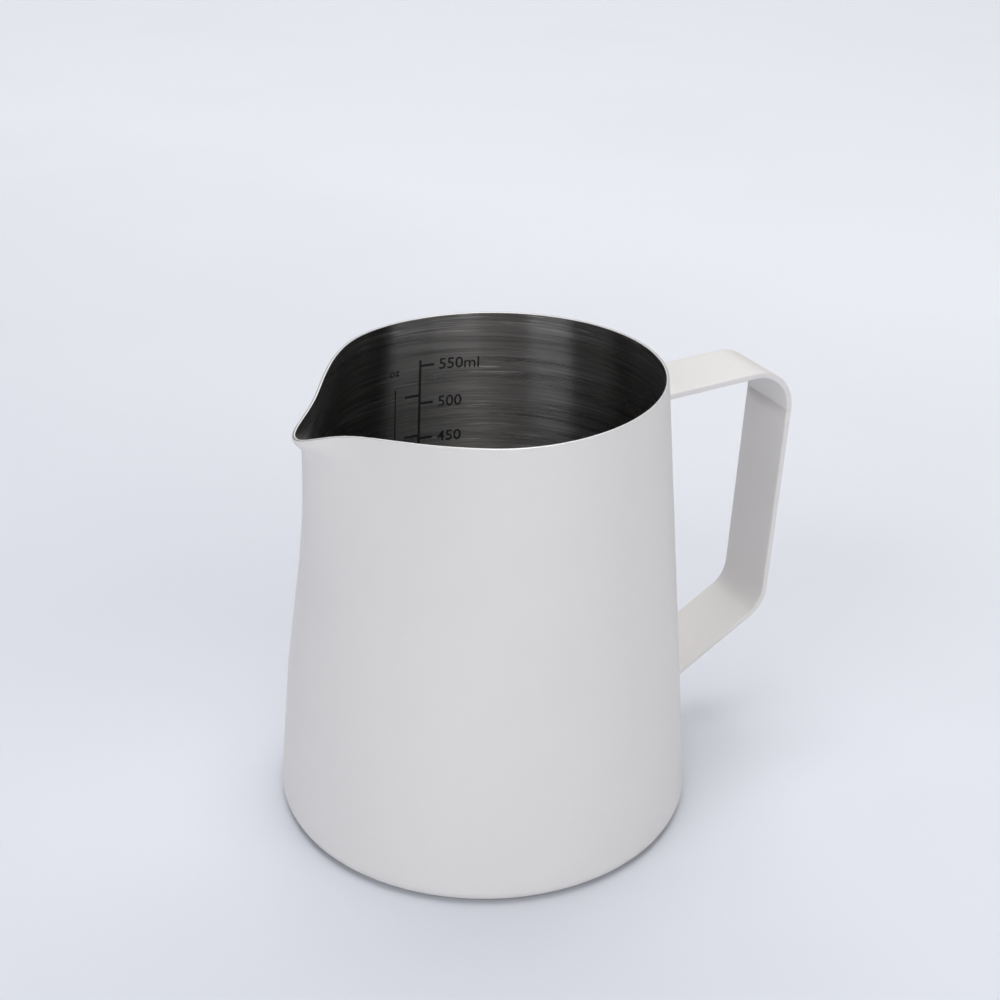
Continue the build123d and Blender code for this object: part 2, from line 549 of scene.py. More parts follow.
@dataclass(frozen=True)
class CupForm:
    """The sheet's outer form: a cone with a V spout between two pressed-in cheeks."""

    rim_height: float = 105.0 * MM
    base_radius: float = 49.0 * MM
    rim_radius: float = 39.5 * MM
    wall: float = 0.9 * MM
    base_corner: float = 3.0 * MM
    spout_reach: float = 6.4 * MM
    spout_spread: float = 8.25
    spout_shape: float = 1.35
    spout_round: float = 3.1
    spout_start: float = 61.0 * MM
    foot_widening: float = 0.5
    lip_share: float = 0.37
    lip_flare: float = 1.2 * MM
    cheek_depth: float = 3.6 * MM
    cheek_angle: float = 31.0
    cheek_spread: float = 31.0
    cheek_start: float = 33.6 * MM
    rim_fall: float = 0.026
    lip_dip: float = 7.0 * MM
    lip_dip_start: float = 16.2 * MM
    slope_step: float = 1e-4

    @property
    def tip_reach(self) -> float:
        """Distance of the spout's tip from the axis."""
        return self.rim_radius + self.spout_reach

    @property
    def tip_height(self) -> float:
        """Height of the spout's tip."""
        return self.rim_height - self.rim_fall * self.tip_reach - self.lip_dip

    def radius(self, z: np.ndarray, angle: np.ndarray) -> np.ndarray:
        """The outer radius at a height and an angle from the spout.

        It is the cone's radius, plus the spout's ridge, less the two cheeks. The ridge stands out
        by a share that rises evenly with height and flares as a tanh under the lip, and it falls
        off with angle as exp(-(angle / spread) ** shape). Each cheek is a Gaussian over angle
        whose depth grows evenly with height.

        Args:
            z: Heights.
            angle: Angles from the spout, in radians, from -pi to pi.

        Returns:
            The radii, with the shape that z and angle have together.
        """
        cone = self.base_radius + (self.rim_radius - self.base_radius) * z / self.rim_height
        rise = np.clip((z - self.spout_start) / (self.tip_height - self.spout_start), 0.0, 1.0)
        flare = (1.0 + np.tanh(1.0 + (z - self.tip_height) / self.lip_flare)) / 2.0
        ridge = (1.0 - self.lip_share) * rise + self.lip_share * flare
        rounding = math.radians(self.spout_round)
        off_ridge = np.sqrt(angle**2 + rounding**2) - rounding
        widening = 1.0 + self.foot_widening * (1.0 - ridge)
        spread = math.radians(self.spout_spread) * widening
        out = self.spout_reach * ridge * np.exp(-((off_ridge / spread) ** self.spout_shape))
        share = (z - self.cheek_start) / (self.rim_height - self.cheek_start)
        press = self.cheek_depth * np.maximum(share, 0.0)
        sides = sum(
            np.exp(-(((np.degrees(angle) - side * self.cheek_angle) / self.cheek_spread) ** 2))
            for side in (-1.0, 1.0)
        )
        return cone + out - press * sides

    def outline(self, z: np.ndarray, angle: np.ndarray, outset: np.ndarray) -> np.ndarray:
        """Points on the form, moved outwards by outset, square to its outline at that height.

        The outline's normal leans off the radius by the arctangent of the radius's slope over
        angle, divided by the radius.

        Args:
            z: Heights.
            angle: Angles from the spout, in radians.
            outset: Distance outwards, negative inwards.

        Returns:
            Points with a last axis of x, y, z.
        """
        z, angle, outset = np.broadcast_arrays(z, angle, outset)
        step = self.slope_step
        radius = self.radius(z, angle)
        slope = (self.radius(z, angle + step) - self.radius(z, angle - step)) / (2 * step)
        normal = angle - np.arctan2(slope, radius)
        x = -radius * np.cos(angle) - outset * np.cos(normal)
        y = radius * np.sin(angle) + outset * np.sin(normal)
        return np.stack([x, y, z], axis=-1)

    def rim_line(self, x: np.ndarray) -> np.ndarray:
        """The rim's height over x: a straight fall towards the spout, then a parabola down."""
        past = np.maximum(-x - self.lip_dip_start, 0.0) / (self.tip_reach - self.lip_dip_start)
        return self.rim_height + self.rim_fall * x - self.lip_dip * past**2

    def rim_at(self, angle: np.ndarray, outset: np.ndarray) -> np.ndarray:
        """The rim's height at each angle, found by going to and fro between height and x.

        Args:
            angle: Angles from the spout, in radians.
            outset: Distances outwards from the form.

        Returns:
            The heights, with the shape that angle and outset have together.
        """
        z = np.full(np.broadcast_shapes(np.shape(angle), np.shape(outset)), self.rim_height)
        for _ in range(RIM_STEPS):
            z = 0.5 * z + 0.5 * self.rim_line(self.outline(z, angle, outset)[..., 0])
        return z


@dataclass
class Cup:
    """The drawn steel cup, open at the top, and the film of powder coat on its outside."""

    form: CupForm = field(default_factory=CupForm)
    columns: int = 320
    column_focus: float = 2.2
    wall_rows: int = 84
    row_grading: float = 1.8
    floor_rows: int = 12
    corner_rows: int = 9
    edge_rows: int = 5
    rim_wall: float = 0.6 * MM
    rim_taper: float = 6.0 * MM
    edge_round: float = 0.20 * MM
    coat: float = 0.12 * MM
    coat_gap: float = 0.004 * MM
    coat_start: float = 1.3 * MM

    def angles(self) -> np.ndarray:
        """Angles round the cup, as a sinh that lies closest together at the spout."""
        even = np.linspace(-1.0, 1.0, self.columns, endpoint=False)
        return math.pi * np.sinh(self.column_focus * even) / math.sinh(self.column_focus)

    def corner_centre(self, outset: float) -> tuple[float, float]:
        """Radius and height of the centre that the base corner is struck from.

        The corner touches the flat bottom and the cone, so its centre lies one corner radius
        from both lines.

        Args:
            outset: Distance outwards from the form.

        Returns:
            The centre's distance from the axis, and its height.
        """
        form = self.form
        struck = form.base_corner + outset
        lean = math.atan2(form.base_radius - form.rim_radius, form.rim_height)
        height = form.base_corner
        on_cone = form.base_radius + outset / math.cos(lean) - height * math.tan(lean)
        return on_cone - struck / math.cos(lean), height

    def corner(self, outset: float, start: float) -> np.ndarray:
        """Rings of the base corner, from the flat bottom or from start up to the cone.

        Args:
            outset: Distance outwards from the form.
            start: Angle below level where the corner begins, 90 for the flat bottom.

        Returns:
            Rings of points from the lowest to the highest.
        """
        form = self.form
        lean = math.degrees(math.atan2(form.base_radius - form.rim_radius, form.rim_height))
        centre, height = self.corner_centre(outset)
        struck = form.base_corner + outset
        across, up = quarter(-start, lean, self.corner_rows)
        radii = (centre + struck * across)[:, None]
        angle = self.angles()[None, :]
        x, y = -radii * np.cos(angle), radii * np.sin(angle)
        z = np.broadcast_to((height + struck * up)[:, None], x.shape)
        return np.stack([x, y, z], axis=-1)

    def side(
        self, outset: float, foot: float, top: np.ndarray, rim_outset: float | None = None
    ) -> np.ndarray:
        """Rings of the wall above the corner, from its foot to just under the rim.

        Heights run from foot to top as 1 - (1 - v) ** grading, so the rings lie closest together
        at the rim. The outset eases to rim_outset over the last part as 3 s ** 2 - 2 s ** 3.

        Args:
            outset: Distance outwards from the form.
            foot: Height of the corner's last ring, which isn't repeated.
            top: Height at each angle where the rim's edge begins.
            rim_outset: Distance outwards at the rim, where it differs.

        Returns:
            Rings of points from the lowest to the highest.
        """
        v = np.linspace(0.0, 1.0, self.wall_rows + 1)[1:, None]
        z = foot + (top[None, :] - foot) * (1.0 - (1.0 - v) ** self.row_grading)
        share = np.clip(1.0 - (top[None, :] - z) / self.rim_taper, 0.0, 1.0)
        change = 0.0 if rim_outset is None else rim_outset - outset
        eased = outset + change * (3.0 * share**2 - 2.0 * share**3)
        return self.form.outline(z, self.angles()[None, :], eased)

    def flat(self, height: float, reach: float) -> np.ndarray:
        """Rings of a flat round floor, evenly spaced from near its middle out to reach.

        Args:
            height: The floor's height.
            reach: Radius where the rounded corner begins, which gets no ring of its own.

        Returns:
            Rings of points from the middle outwards.
        """
        share = np.linspace(0.0, 1.0, self.floor_rows + 2)[1:-1, None]
        angle = self.angles()[None, :]
        x, y = -reach * share * np.cos(angle), reach * share * np.sin(angle)
        return np.stack([x, y, np.full_like(x, height)], axis=-1)

    def edge(self, inner: float, outer: float, struck: float) -> np.ndarray:
        """Rings over the rim's edge, from inside to outside, with both its corners rounded.

        Args:
            inner: Outset of the edge's inner side.
            outer: Outset of its outer side.
            struck: Radius of its two corners.

        Returns:
            Rings of points.
        """
        across, up = quarter(0.0, 90.0, self.edge_rows)
        inwards, downwards = struck * (1 - across), struck * (1 - up)
        outsets = np.concatenate([inner + inwards, outer - inwards[::-1]])
        drops = np.concatenate([downwards, downwards[::-1]])
        angle = self.angles()[None, :]
        outset = outsets[:, None]
        z = self.form.rim_at(angle, outset) - drops[:, None]
        return self.form.outline(z, angle, outset)

    def build_steel(self, steel: bpy.types.Material, edge: bpy.types.Material) -> bpy.types.Object:
        """The steel cup as one closed shell: inside floor, wall, rim's edge, outside, underside.

        Inside, the wall thins towards the rim, where it was dressed after trimming.

        Args:
            steel: The brushed steel of the whole cup.
            edge: The finish of its rim's edge: steel painted brighter, a painted highlight.

        Returns:
            The new piece.
        """
        form = self.form
        rim = self.edge(-self.rim_wall, 0.0, self.edge_round)
        inside = self.corner(-form.wall, 90.0)
        outside = self.corner(0.0, 90.0)
        inner_wall = self.side(-form.wall, inside[-1, 0, 2], rim[0, :, 2], -self.rim_wall)[:-1]
        outer_wall = self.side(0.0, outside[-1, 0, 2], rim[-1, :, 2])[:-1]
        floor = self.flat(form.wall, self.corner_centre(-form.wall)[0])
        bottom = self.flat(0.0, self.corner_centre(0.0)[0])
        up = [floor, inside, inner_wall, rim]
        down = [outer_wall[::-1], outside[::-1], bottom[::-1]]
        piece = closed_skin("steel_cup", np.concatenate(up + down))
        first = sum(len(rings) for rings in up[:-1])
        finish = np.zeros(len(piece.data.polygons), np.int32)
        # The rim's edge faces take the second material: steel painted brighter, a painted highlight
        # along the rim.
        finish[(first - 1) * self.columns : (first + len(rim)) * self.columns] = 1
        piece.data.materials.append(steel)
        piece.data.materials.append(edge)
        piece.data.polygons.foreach_set("material_index", finish)
        return piece

    def build_coat(self) -> bpy.types.Object:
        """The coat's film as one closed skin: up its outer face and down its hidden inner face.

        Returns:
            The new piece.
        """
        gap, coat = self.coat_gap, self.coat
        rim = self.edge(gap, coat, (coat - gap) / 2)
        begin = self.coat_begin(coat)
        outside = self.corner(coat, begin)
        inside = self.corner(gap, self.coat_begin(gap))
        outer_wall = self.side(coat, outside[-1, 0, 2], rim[-1, :, 2])[:-1]
        inner_wall = self.side(gap, inside[-1, 0, 2], rim[0, :, 2])[:-1]
        rings = [outside, outer_wall, rim[::-1], inner_wall[::-1], inside[::-1]]
        return closed_skin("body_powder_coat", np.concatenate(rings), torus=True)

    def coat_begin(self, outset: float) -> float:
        """Angle below level, in degrees, at which the corner reaches the coat's lower edge."""
        corner = self.form.base_corner
        return math.degrees(math.asin((corner - self.coat_start) / (corner + outset)))

    def build(
        self, steel: bpy.types.Material, edge: bpy.types.Material, coat: bpy.types.Material
    ) -> list[bpy.types.Object]:
        """edge: The finish of the rim's edge: steel painted brighter, a painted highlight.

        Args:
            steel: The bare steel.
            edge: The finish of the rim's edge.
            coat: The powder coat.

        Returns:
            The steel cup and its coat.
        """
        cup, film = self.build_steel(steel, edge), self.build_coat()
        film.data.materials.append(coat)
        made = ((cup, "pitcher_body", Slot.STEEL), (film, "body_coating", Slot.COAT))
        for piece, node, slot in made:
            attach(piece, ROOT)
            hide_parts(node)
        return [cup, film]


# ---------------------------------------------------------------------------------------------
# The handle
# ---------------------------------------------------------------------------------------------


@dataclass
class Handle:
    """The flat strip as its coat shows it: three runs, rounded edges, a flare at each weld."""

    form: CupForm = field(default_factory=CupForm)
    strip_width: float = 16.6 * MM
    strip_thickness: float = 1.2 * MM
    coat: float = 0.12 * MM
    edge_round: float = 0.36 * MM
    grip_top: tuple[float, float] = (75.7 * MM, 97.7 * MM)
    grip_bottom: tuple[float, float] = (73.1 * MM, 34.6 * MM)
    upper_joint: float = 95.6 * MM
    lower_joint: float = 18.8 * MM
    upper_bend: float = 9.7 * MM
    lower_bend: float = 8.5 * MM
    run_in: float = 3.0 * MM
    weld_leg: float = 0.70 * MM
    weld_blend: float = 0.20 * MM
    sunk: float = 0.06 * MM
    corner_points: int = 7
    face_points: int = 9
    edge_points: int = 3
    run_rings: int = 14
    bend_rings: int = 28
    weld_rings: int = 12
    weld_zone: float = 2.4 * MM
    weld_grading: float = 1.6
    flare_sharpness: tuple[float, float] = (14.0, 3.0)

    def ends(self) -> list[np.ndarray]:
        """The middle line's four points (x, z), where its straight runs meet or end in the cup.

        Returns:
            The upper end in the cup, the grip's top, its bottom, and the lower end in the cup.
        """
        back = np.array(math.pi)
        points = []
        runs = ((self.upper_joint, self.grip_top), (self.lower_joint, self.grip_bottom))
        for joint, grip in runs:
            x = float(self.form.radius(np.array(joint), back))
            slope = (grip[1] - joint) / (grip[0] - x)
            start = np.array([x - self.run_in, joint - self.run_in * slope])
            points.append([start, np.array(grip)])
        return [points[0][0], points[0][1], points[1][1], points[1][0]]

    def section(self) -> np.ndarray:
        """The strip's rounded section as (across, through) points, with its coat.

        Four quarter circles stand at the corners of a rectangle, joined by evenly spaced points
        along its two faces and its two edges.

        Returns:
            An array of points round the section.
        """
        half = np.array([self.strip_width, self.strip_thickness]) / 2 + self.coat
        inner = half - self.edge_round
        across, up = quarter(0.0, 90.0, self.corner_points)
        arc = inner + self.edge_round * np.stack([across, up], axis=1)
        face = np.linspace(inner[0], -inner[0], self.face_points + 2)[1:-1]
        edge = np.linspace(inner[1], -inner[1], self.edge_points + 2)[1:-1]
        side = np.concatenate(
            [
                arc,
                np.stack([face, np.full_like(face, half[1])], axis=1),
                (arc * (-1, 1))[::-1],
                np.stack([np.full_like(edge, -half[0]), edge], axis=1),
            ]
        )
        return np.concatenate([side, -side])

    def middle_line(self) -> tuple[np.ndarray, np.ndarray]:
        """Places and directions along the middle line between the two straight weld zones.

        Each bend is an arc that touches both its runs, and the runs between are divided evenly.

        Returns:
            Points (x, z) and unit directions (x, z), one row each.
        """
        corners = self.ends()
        places, ways = [], []
        last = corners[0] + self.straight_start(corners[0], corners[1])
        for index, struck in ((1, self.upper_bend), (2, self.lower_bend)):
            before = self.direction(corners[index - 1], corners[index])
            after = self.direction(corners[index], corners[index + 1])
            turn = math.atan2(before[0] * after[1] - before[1] * after[0], float(before @ after))
            reach = struck * math.tan(abs(turn) / 2)
            begin = corners[index] - reach * before
            share = np.linspace(0.0, 1.0, self.run_rings, endpoint=False)[:, None]
            places.append(last + (begin - last) * share)
            ways.append(np.tile(before, (self.run_rings, 1)))
            swept = np.linspace(0.0, turn, self.bend_rings)[:, None]
            side = np.array([-before[1], before[0]]) * math.copysign(1.0, turn)
            along = before * np.sin(abs(swept)) * struck
            places.append(begin + along + side * struck * (1 - np.cos(swept)))
            ways.append(before * np.cos(swept) + side * np.sin(abs(swept)))
            last = corners[index] + reach * after
        end = corners[3] + self.straight_start(corners[3], corners[2])
        share = np.linspace(0.0, 1.0, self.run_rings)[1:, None]
        places.append(last + (end - last) * share)
        ways.append(np.tile(after, (self.run_rings - 1, 1)))
        return np.concatenate(places), np.concatenate(ways)

    @staticmethod
    def direction(start: np.ndarray, end: np.ndarray) -> np.ndarray:
        """The unit direction from one point to another."""
        return (end - start) / np.linalg.norm(end - start)

    def straight_start(self, start: np.ndarray, towards: np.ndarray) -> np.ndarray:
        """The step from a run's end inside the cup to where its weld zone is over."""
        way = self.direction(start, towards)
        return way * (self.run_in / abs(way[0]) + self.weld_zone)

    def weld_rings_from(self, start: np.ndarray, way: np.ndarray) -> np.ndarray:
        """Rings from the cup's surface to the end of a weld zone, flared by the bead.

        Each line of the strip is followed back to the cup: its x is the root of the cup's radius
        squared less its y squared, found again as its height changes. Near the cup the section
        grows by a smooth ramp, (r + sqrt(r * r + 4 b * b)) / 2, where r is how far a point lies
        short of the bead's toe along x, and b is the blend.

        Args:
            start: The middle line's point (x, z) where the weld zone ends.
            way: Unit direction (x, z) from the cup outwards.

        Returns:
            Rings of points, from the cup outwards.
        """
        share = np.linspace(0.0, 1.0, self.weld_rings + 1)[:-1, None] ** self.weld_grading
        section = self.section()
        half = np.array([self.strip_width, self.strip_thickness]) / 2 + self.coat
        share_out = np.clip(np.abs(section) / (half - self.edge_round), 0.0, 1.0)
        outwards = np.sign(section) * share_out ** np.array(self.flare_sharpness)
        normal = np.array([-way[1], way[0]])
        toe = start[0] - abs(way[0]) * self.weld_zone + self.weld_leg
        growth = np.zeros((len(share), len(section)))
        for _ in range(FLARE_STEPS):
            y = section[:, 0] + growth * outwards[:, 0]
            through = section[:, 1] + growth * outwards[:, 1]
            base = start + through[..., None] * normal
            cup = self.followed_back(base, y, way)
            placed = cup + share[..., None] * (base - cup)
            ramp = toe - placed[..., 0]
            growth = (ramp + np.sqrt(ramp**2 + 4 * self.weld_blend**2)) / 2
        return np.stack([placed[..., 0], y, placed[..., 1]], axis=-1)

    def followed_back(self, base: np.ndarray, y: np.ndarray, way: np.ndarray) -> np.ndarray:
        """Points (x, z) where lines along the strip meet the cup's surface.

        Args:
            base: A point (x, z) on each line.
            y: Each line's distance from the plane that halves the handle.
            way: Unit direction (x, z) of all the lines, from the cup outwards.

        Returns:
            The points (x, z), one for each line.
        """
        cup = base
        for _ in range(FOLLOW_STEPS):
            angle = np.arctan2(y, -cup[..., 0])
            radius = self.form.radius(cup[..., 1], angle) + self.sunk
            step = (np.sqrt(radius**2 - y**2) - base[..., 0]) / way[0]
            cup = base + step[..., None] * way
        return cup

    def rings(self) -> np.ndarray:
        """All the strip's rings: the upper weld's, those of the runs and bends, the lower weld's.

        Returns:
            Rings of points from the upper weld to the lower one.
        """
        places, ways = self.middle_line()
        section = self.section()
        normals = np.stack([-ways[:, 1], ways[:, 0]], axis=1)
        inplane = places[:, None, :] + section[None, :, 1:2] * normals[:, None, :]
        y = np.broadcast_to(section[None, :, 0], inplane.shape[:2])
        runs = np.stack([inplane[..., 0], y, inplane[..., 1]], axis=-1)
        upper = self.weld_rings_from(places[0], ways[0])
        lower = self.weld_rings_from(places[-1], -ways[-1])
        turned = self.turned_over(lower)
        return np.concatenate([upper, runs, turned[::-1]])

    def turned_over(self, rings: np.ndarray) -> np.ndarray:
        """Renumbers rings that were made looking the other way along the strip.

        Args:
            rings: Rings of points whose section is mirrored through the strip.

        Returns:
            The same rings, with their points in the runs' order.
        """
        section = self.section()
        mirrored = section * (1, -1)
        distance = np.linalg.norm(section[:, None, :] - mirrored[None, :, :], axis=-1)
        return rings[:, distance.argmin(axis=1), :]

    def build(self, coat: bpy.types.Material) -> bpy.types.Object:
        """Builds, dresses and registers the coated strip.

        Args:
            coat: The powder coat.

        Returns:
            The new piece.
        """
        rings = self.rings()
        ends = rings[[0, -1]]
        poles = ends.mean(axis=1)
        poles[:, 0] = ends[..., 0].max(axis=1)
        piece = closed_skin("handle_powder_coat", rings, poles=poles)
        piece.data.materials.append(coat)
        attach(piece, ROOT)
        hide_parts("handle_coating")
        return piece


# ---------------------------------------------------------------------------------------------
# The volume scale
# ---------------------------------------------------------------------------------------------


@dataclass(frozen=True)
class Label:
    """A generic number or unit on the scale."""

    text: str
    height: float
    left: float
    letter: float

    @property
    def piece_name(self) -> str:
        """The name of its piece."""
        kind = "number" if self.text[0].isdigit() else "unit"
        return f"scale_{kind}_{self.text}"


@dataclass
class VolumeScale:
    """Dark lines and numbers on the inside of the wall: millilitres right, fluid ounces left."""

    form: CupForm = field(default_factory=CupForm)
    spine: float = 88.5
    top: float = 94.1 * MM
    millilitre_tick: float = 3.5 * MM
    ounce_tick: float = 3.9 * MM
    line: float = 0.62 * MM
    letter: float = 3.0 * MM
    letter_gap: float = 1.3 * MM
    letter_weight: float = 0.035 * MM
    unit_left: float = -8.3 * MM
    unit_height: float = 91.6 * MM
    unit_letter: float = 2.1 * MM
    side_line: float = -6.6 * MM
    side_line_span: tuple[float, float] = (73.6 * MM, 87.2 * MM)
    proud: float = 0.030 * MM
    buried: float = 0.010 * MM
    millilitres: tuple[int, ...] = (550, 500, 450, 400, 350, 300, 250, 200, 150, 100)
    ounces: tuple[int, ...] = (18, 16, 14, 12, 10, 8, 6, 4)
    ounce_volume: float = 28.413
    slices: int = 500
    slice_points: int = 360
    bar_step: float = 1.0 * MM
    tick_start: float = 0.6
    capital_share: float = 0.73
    merge_distance: float = 0.002 * MM
    sliver: float = 0.0005 * MM

    def level_of(self, millilitres: float) -> float:
        """The height that a volume fills the cup to.

        The inner area at each height is half the integral of the inner radius squared over
        angle, and it is added up from the floor until it holds the volume.

        Args:
            millilitres: The volume.

        Returns:
            The level's height.
        """
        angle = np.linspace(-math.pi, math.pi, self.slice_points + 1)[None, :-1]
        z = np.linspace(self.form.wall, self.form.rim_height, self.slices)
        points = self.form.outline(z[:, None], angle, -self.form.wall)
        x, y = points[..., 0], points[..., 1]
        area = np.abs((x * np.roll(y, -1, 1) - np.roll(x, -1, 1) * y).sum(axis=1)) / 2
        filled = np.concatenate([[0.0], np.cumsum((area[1:] + area[:-1]) / 2 * np.diff(z))])
        return float(np.interp(millilitres * MILLILITRE, filled, z))

    def onto_wall(self, flat: np.ndarray) -> np.ndarray:
        """Bends flat marks onto the wall.

        A point's first number is its distance along the wall from the spine, towards the spout's
        left, its second its height, and its third runs from 0 at the wall to 1 at the mark's
        face. The distance divided by the inner radius is the angle.

        Args:
            flat: Points of the flat marks.

        Returns:
            The same points in place.
        """
        across, z, proud = flat[:, 0], flat[:, 1], flat[:, 2]
        start = math.radians(180.0 - self.spine)
        inner = self.form.radius(z, np.full_like(z, start)) - self.form.wall
        angle = start + across / inner
        outset = -self.form.wall + self.buried - proud * (self.proud + self.buried)
        return self.form.outline(z, angle, outset)

    def bar(
        self, left: float, right: float, low: float, high: float
    ) -> tuple[np.ndarray, np.ndarray]:
        """A flat closed bar, divided so that it can follow the wall.

        Args:
            left: Where it begins, along the wall.
            right: Where it ends.
            low: Its lower height.
            high: Its upper height.

        Returns:
            Its points, and its faces as point numbers.
        """
        long_way = max(right - left, high - low)
        count = max(2, int(math.ceil(long_way / self.bar_step)) + 1)
        upright = high - low > right - left
        share = np.linspace(0.0, 1.0, count)
        if upright:
            a = np.repeat([[left, right, right, left]], count, axis=0)
            b = np.repeat((low + (high - low) * share)[:, None], 4, axis=1)
        else:
            a = np.repeat((left + (right - left) * share)[:, None], 4, axis=1)
            b = np.repeat([[low, high, high, low]], count, axis=0)
        c = np.repeat([[0.0, 0.0, 1.0, 1.0]], count, axis=0)
        points = np.stack([a, b, c], axis=-1).reshape(-1, 3)
        faces = ring_faces(count, 4)
        end = 4 * (count - 1)
        caps = np.array([[3, 2, 1, 0], [end, end + 1, end + 2, end + 3]])
        return points, np.concatenate([faces, caps])

    def bars(self) -> list[tuple[float, float, float, float]]:
        """Every line of the scale: the spine, the ticks on both its sides and the side line.

        Returns:
            Each line's left, right, low and high sides.
        """
        half = self.line / 2
        near = half * self.tick_start
        lowest = self.level_of(self.millilitres[-1])
        lines = [(-half, half, lowest - half, self.top)]
        for volume in self.millilitres:
            z = self.level_of(volume)
            lines.append((near, self.millilitre_tick, z - half, z + half))
        for ounce in self.ounces:
            z = self.level_of(ounce * self.ounce_volume)
            lines.append((-self.ounce_tick, -near, z - half, z + half))
        lines.append((self.side_line - near, self.side_line + near, *self.side_line_span))
        return lines

    def labels(self) -> list[Label]:
        """The numbers beside the millilitre marks, and the left side's unit.

        Returns:
            The labels. The uppermost number has its unit with it.
        """
        made = [Label("oz", self.unit_height, self.unit_left, self.unit_letter)]
        left = self.millilitre_tick + self.letter_gap
        for volume in self.millilitres:
            unit = "ml" if volume == self.millilitres[0] else ""
            made.append(Label(f"{volume}{unit}", self.level_of(volume), left, self.letter))
        return made

    def build_lines(self) -> bpy.types.Object:
        """The spine, its ticks and the side line as one mesh of closed bars.

        Returns:
            The new piece.
        """
        points, faces, start = [], [], 0
        for sides in self.bars():
            place, face = self.bar(*sides)
            points.append(place)
            faces.append(face + start)
            start += len(place)
        mesh = bpy.data.meshes.new("scale_lines")
        bent = self.onto_wall(np.concatenate(points))
        mesh.from_pydata(bent.tolist(), [], np.concatenate(faces).tolist())
        return self.settled("scale_lines", mesh)

    def build_label(self, label: Label) -> bpy.types.Object:
        """A number or unit as a thin closed mesh, bent onto the wall.

        Args:
            label: Its text, place and size.

        Returns:
            The new piece.
        """
        curve = bpy.data.curves.new(f"text_{label.text}", "FONT")
        curve.body = label.text
        curve.size = label.letter / self.capital_share
        curve.offset = self.letter_weight
        curve.extrude = half_depth = 0.5
        curve.align_y = "CENTER"
        curve.resolution_u = 4
        source = bpy.data.objects.new(curve.name, curve)
        bpy.context.scene.collection.objects.link(source)
        bpy.context.view_layer.update()
        evaluated = source.evaluated_get(bpy.context.evaluated_depsgraph_get())
        mesh = bpy.data.meshes.new_from_object(evaluated)
        bpy.data.objects.remove(source)
        flat = np.empty(len(mesh.vertices) * 3)
        mesh.vertices.foreach_get("co", flat)
        flat = flat.reshape(-1, 3)
        middle = (flat[:, 1].min() + flat[:, 1].max()) / 2
        flat = flat - (flat[:, 0].min() - label.left, middle - label.height, -half_depth)
        mesh.vertices.foreach_set("co", self.onto_wall(flat).ravel())
        return self.settled(label.piece_name, mesh)

    def settled(self, name: str, mesh: bpy.types.Mesh) -> bpy.types.Object:
        """Merges a mark's doubles, turns its faces outwards and puts it in the scene.

        Args:
            name: Name of the new piece.
            mesh: The mark's mesh, already in place.

        Returns:
            The new piece.
        """
        work = bmesh.new()
        work.from_mesh(mesh)
        bmesh.ops.remove_doubles(work, verts=work.verts, dist=self.merge_distance)
        bmesh.ops.dissolve_degenerate(work, edges=work.edges, dist=self.sliver)
        bmesh.ops.recalc_face_normals(work, faces=work.faces)
        work.to_mesh(mesh)
        work.free()
        mesh.materials.clear()
        piece = bpy.data.objects.new(name, mesh)
        bpy.context.scene.collection.objects.link(piece)
        return piece

    def build(self, mark: bpy.types.Material) -> list[bpy.types.Object]:
        """Builds, dresses and registers the lines and the numbers.

        Args:
            mark: The dark finish of the marks.

        Returns:
            The new pieces.
        """
        pieces = [self.build_lines()] + [self.build_label(label) for label in self.labels()]
        for piece in pieces:
            piece.data.materials.append(mark)
            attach(piece, ROOT)
        return pieces


# ---------------------------------------------------------------------------------------------
# The studio
# ---------------------------------------------------------------------------------------------


@dataclass(frozen=True)
class SoftBox:
    """A large soft lamp that looks at a point."""

    name: str
    place: tuple[float, float, float]
    aim: tuple[float, float, float]
    width: float
    height: float
    power: float
    colour: tuple[float, float, float] = (1.0, 1.0, 1.0)

    def build(self) -> bpy.types.Object:
        """Builds the lamp, turned so that it shines from its place to its aim.

        Returns:
            The lamp's object.
        """
        lamp = bpy.data.lights.new(self.name, "AREA")
        lamp.shape = "RECTANGLE"
        lamp.size, lamp.size_y = self.width, self.height
        lamp.energy, lamp.color = self.power, self.colour
        piece = bpy.data.objects.new(self.name, lamp)
        bpy.context.scene.collection.objects.link(piece)
        piece.location = self.place
        beam = Vector(self.aim) - Vector(self.place)
        piece.rotation_euler = beam.to_track_quat("-Z", "Y").to_euler()
        return piece


